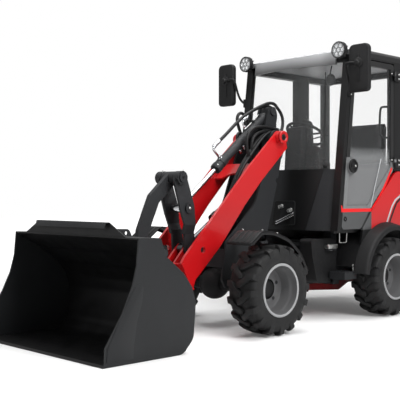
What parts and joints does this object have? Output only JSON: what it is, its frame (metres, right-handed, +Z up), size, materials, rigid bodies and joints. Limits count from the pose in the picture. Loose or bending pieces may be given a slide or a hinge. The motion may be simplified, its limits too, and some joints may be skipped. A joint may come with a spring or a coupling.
{
  "type": "articulated wheel loader",
  "caption": "Compact wheel loader with a glazed cab, an articulated frame, chevron tyres and a bucket on a lift boom with a parallel lever and link.",
  "frame": {"origin": "on the ground, at the middle of the whole machine's box with the bucket on the ground", "axes": "+X forward to the bucket, +Y to the driver's left, +Z up"},
  "size_m": [4.04, 1.7442, 2.389],
  "materials": {
    "red": "gloss",
    "anthracite": "satin",
    "dark_grey": "satin",
    "black_frame": "satin",
    "silver": "satin",
    "rim": "satin",
    "tyre": "matte",
    "chrome": "polished",
    "black_plastic": "matte",
    "grey_plastic": "matte",
    "glass": "gloss",
    "seat": "matte",
    "iron": "matte",
    "door_grey": "satin"
  },
  "bodies": {
    "rear_frame": {"rear_frame": "anthracite", "rear_axle": "iron", "engine_block": "iron", "counterweight": "iron", "side_covers": "red", "rear_fenders": "black_plastic", "side_tanks": "black_plastic", "steps": "anthracite", "cab_frame": "black_frame", "cab_floor": "black_frame", "front_panels": "grey_plastic", "roof": "silver", "glazing": "glass", "seat": "seat", "console": "black_plastic", "steering_column": "black_plastic", "mirrors": "black_plastic", "work_lamps": "black_plastic"},
    "front_frame": {"front_frame": "anthracite", "front_axle": "iron", "front_pins": "dark_grey", "front_fenders": "black_plastic"},
    "boom": {"boom": "red", "boom_pins": "dark_grey"},
    "lift_barrel": {"lift_barrel": "dark_grey"},
    "lift_rod": {"lift_rod": "chrome"},
    "tilt_barrel": {"tilt_barrel": "dark_grey"},
    "tilt_rod": {"tilt_rod": "chrome"},
    "bucket": {"hitch": "dark_grey", "bucket": "dark_grey"},
    "lever": {"lever": "dark_grey", "link_pin": "dark_grey"},
    "tilt_piston": {"tilt_piston": "chrome"},
    "link": {"link": "dark_grey"},
    "door": {"door": "door_grey", "door_glass": "glass"},
    "hood": {"hood": "red"},
    "wheel_fl": {"tyre_fl": "tyre", "rim_fl": "rim"},
    "wheel_fr": {"tyre_fr": "tyre", "rim_fr": "rim"},
    "wheel_rl": {"tyre_rl": "tyre", "rim_rl": "rim"},
    "wheel_rr": {"tyre_rr": "tyre", "rim_rr": "rim"}
  },
  "joints": [
    {"name": "steer", "type": "hinge", "parent": "rear_frame", "child": "front_frame", "pos_m": [-0.475, 0, 0.455], "axis": [0, 0, 1], "range_deg": [-40, 40]},
    {"name": "boom_lift", "type": "hinge", "parent": "front_frame", "child": "boom", "pos_m": [-0.242, 0, 1.565], "axis": [0, -1, 0], "range_deg": [0, 82]},
    {"name": "lift_swing", "type": "hinge", "parent": "front_frame", "child": "lift_barrel", "pos_m": [-0.2, 0, 1.23], "axis": [0, -1, 0], "range_deg": [0, 83]},
    {"name": "lift_stroke", "type": "slide", "parent": "lift_barrel", "child": "lift_rod", "axis": [0.8285, 0, -0.56], "range_m": [0, 0.45]},
    {"name": "tilt_swing", "type": "hinge", "parent": "front_frame", "child": "tilt_barrel", "pos_m": [-0.34, 0, 1.8], "axis": [0, -1, 0], "range_deg": [0, 82]},
    {"name": "tilt_piston", "type": "slide", "parent": "tilt_barrel", "child": "tilt_piston", "axis": [0.7823, 0, -0.6229], "range_m": [-0.29, 0]},
    {"name": "tilt_stroke", "type": "slide", "parent": "tilt_piston", "child": "tilt_rod", "axis": [0.7823, 0, -0.6229], "range_m": [-0.15, 0.45]},
    {"name": "bucket_tilt", "type": "hinge", "parent": "boom", "child": "bucket", "pos_m": [1.05, 0, 0.29], "axis": [0, 1, 0], "range_deg": [-38, 124]},
    {"name": "lever_swing", "type": "hinge", "parent": "boom", "child": "lever", "pos_m": [0.658, 0, 0.65], "axis": [0, 1, 0], "range_deg": [-38, 124]},
    {"name": "link_swing", "type": "hinge", "parent": "lever", "child": "link", "pos_m": [0.79, 0, 1.21], "axis": [0, -1, 0], "range_deg": [-38, 124]},
    {"name": "door", "type": "hinge", "parent": "rear_frame", "child": "door", "pos_m": [-1.385, 0.62, 1.763], "axis": [0, 0, 1], "range_deg": [0, 95]},
    {"name": "hood", "type": "hinge", "parent": "rear_frame", "child": "hood", "pos_m": [-1.934, 0, 1.282], "axis": [0, 1, 0], "range_deg": [0, 70]},
    {"name": "wheel_fl", "type": "hinge", "parent": "front_frame", "child": "wheel_fl", "pos_m": [0.31, 0.594, 0.35], "axis": [0, 1, 0], "continuous": true},
    {"name": "wheel_fr", "type": "hinge", "parent": "front_frame", "child": "wheel_fr", "pos_m": [0.31, -0.594, 0.35], "axis": [0, 1, 0], "continuous": true},
    {"name": "wheel_rl", "type": "hinge", "parent": "rear_frame", "child": "wheel_rl", "pos_m": [-1.26, 0.594, 0.35], "axis": [0, 1, 0], "continuous": true},
    {"name": "wheel_rr", "type": "hinge", "parent": "rear_frame", "child": "wheel_rr", "pos_m": [-1.26, -0.594, 0.35], "axis": [0, 1, 0], "continuous": true}
  ],
  "couplings": [
    {"joint": "lift_swing", "follows": "boom_lift", "ratio": 1},
    {"joint": "lift_stroke", "follows": "boom_lift", "m_per_rad": 0.31},
    {"joint": "tilt_swing", "follows": "boom_lift", "ratio": 0.875},
    {"joint": "tilt_piston", "follows": "boom_lift", "m_per_rad": -0.2},
    {"joint": "tilt_stroke", "follows": "bucket_tilt", "m_per_rad": 0.2},
    {"joint": "lever_swing", "follows": "bucket_tilt", "ratio": 0.6544},
    {"joint": "link_swing", "follows": "bucket_tilt", "ratio": 0.5504}
  ]
}
